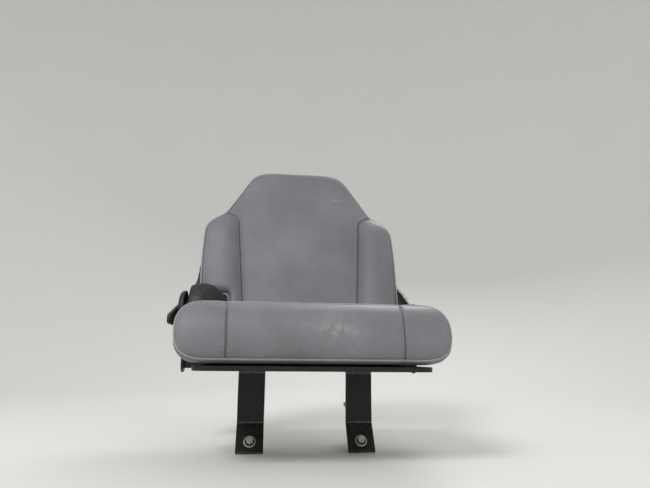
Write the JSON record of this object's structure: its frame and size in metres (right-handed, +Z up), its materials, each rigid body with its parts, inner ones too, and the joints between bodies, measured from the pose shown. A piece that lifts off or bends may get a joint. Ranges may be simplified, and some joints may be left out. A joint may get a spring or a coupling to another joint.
{
  "type": "fire truck crew seat",
  "caption": "Vehicle crew seat on bent bar floor brackets, with a rolled front cushion and a shouldered backrest that reclines and folds forward.",
  "frame": {"origin": "midway between the two front floor bolts, at the back face of the front feet, which lies on the floor", "axes": "+X to the right as the seat is faced, +Y to the rear of the seat, +Z up. The seat faces -Y"},
  "size_m": [0.5892, 0.6591, 0.7357],
  "materials": {
    "black_steel": "satin black powder coat",
    "zinc_fixings": "bright zinc plate",
    "grey_vinyl": "grained grey vinyl",
    "black_plastic": "fine moulded grain"
  },
  "bodies": {
    "seat_base": {"front_leg_left": "black_steel", "front_leg_right": "black_steel", "front_bolt_left": "zinc_fixings", "front_bolt_right": "zinc_fixings", "rear_foot_left": "black_steel", "rear_foot_right": "black_steel", "rear_bolt_left": "zinc_fixings", "rear_bolt_right": "zinc_fixings", "seat_pan": "black_steel", "pan_rail_left": "black_steel", "pan_rail_right": "black_steel", "rear_crossbar": "black_steel", "seat_cushion": "grey_vinyl", "hinge_plate_left": "black_steel", "hinge_plate_right": "black_steel", "hinge_pin_left": "zinc_fixings", "hinge_pin_right": "zinc_fixings", "hinge_cap_left": "black_plastic", "hinge_cap_right": "black_plastic", "recliner_lever": "black_plastic"},
    "backrest": {"recliner_hub_cover": "black_plastic", "backrest_arm_left": "black_steel", "backrest_arm_right": "black_steel", "arm_cover_left": "black_plastic", "arm_cover_right": "black_plastic", "lower_back_tube": "black_steel", "upper_back_tube": "black_steel", "back_shell": "black_plastic", "backrest_pad": "grey_vinyl"}
  },
  "joints": [
    {"name": "backrest_recline", "type": "hinge", "parent": "seat_base", "child": "backrest", "pos_m": [0, 0.17, 0.268], "axis": [1, 0, 0], "range_deg": [-25, 105]}
  ]
}
